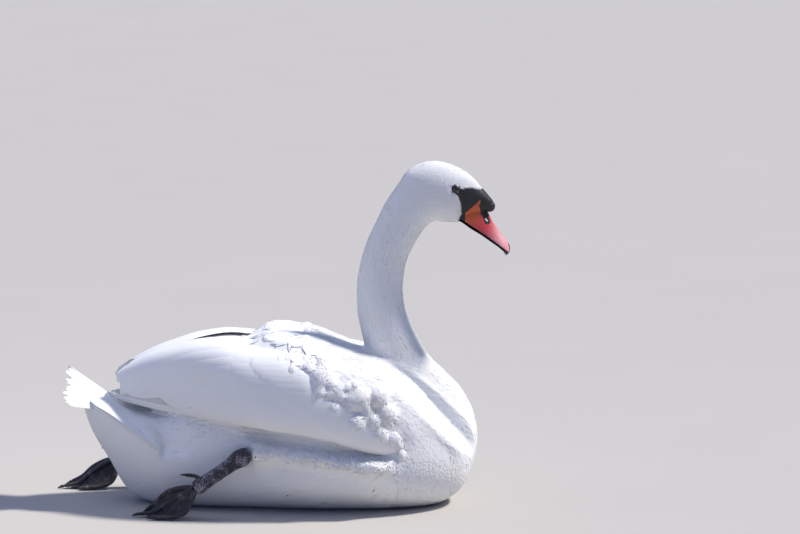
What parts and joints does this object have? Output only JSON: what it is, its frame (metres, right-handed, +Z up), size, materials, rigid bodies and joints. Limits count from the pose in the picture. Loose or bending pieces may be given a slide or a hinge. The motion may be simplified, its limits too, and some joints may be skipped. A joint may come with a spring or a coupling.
{
  "type": "mute swan",
  "caption": "Life-size adult mute swan lying on its belly, neck raised in an S, bill lowered, wings folded and legs trailing.",
  "frame": {"origin": "on the floor in the plane that halves the bird's body, under the middle of its length", "axes": "+X the way the bird faces, +Y its left side, +Z up; the belly's flat is Z = 0"},
  "size_m": [0.7586, 0.3472, 0.5682],
  "materials": {
    "body_plumage": "soft white contour feathers, matt",
    "flight_plumage": "smooth white vaned feathers, matt",
    "bare_black_skin": "bare black skin, finely creased, satin",
    "bill": "horny, orange to pinkish red, satin",
    "lower_bill": "horny, black, satin",
    "bill_nail": "horny, black, satin",
    "eye": "dark brown, wet gloss",
    "leg_skin": "scaly grey-black skin, matt to satin",
    "claw": "horny, black"
  },
  "bodies": {
    "root": {"head": "body_plumage", "lores": "bare_black_skin", "knob": "bare_black_skin", "eye_right": "eye", "eye_left": "eye", "bill_upper": "bill", "bill_lower": "lower_bill", "bill_nail": "bill_nail", "neck_lower": "body_plumage", "neck_middle": "body_plumage", "neck_upper": "body_plumage", "trunk": "body_plumage", "uppertail_coverts": "body_plumage", "undertail_coverts": "body_plumage", "tail_feathers": "flight_plumage", "wing_right_scapulars": "flight_plumage", "wing_right_primaries": "flight_plumage", "wing_right_shoulder": "flight_plumage", "wing_right_tertials": "flight_plumage", "wing_right_greater_coverts": "flight_plumage", "wing_right_secondaries": "flight_plumage", "wing_left_scapulars": "flight_plumage", "wing_left_primaries": "flight_plumage", "wing_left_shoulder": "flight_plumage", "wing_left_tertials": "flight_plumage", "wing_left_greater_coverts": "flight_plumage", "wing_left_secondaries": "flight_plumage", "shank_right": "body_plumage", "tarsus_right": "leg_skin", "foot_right": "leg_skin", "claw_right_outer": "claw", "claw_right_middle": "claw", "claw_right_inner": "claw", "claw_right_hind": "claw", "shank_left": "body_plumage", "tarsus_left": "leg_skin", "foot_left": "leg_skin", "claw_left_outer": "claw", "claw_left_middle": "claw", "claw_left_inner": "claw", "claw_left_hind": "claw"}
  },
  "joints": []
}
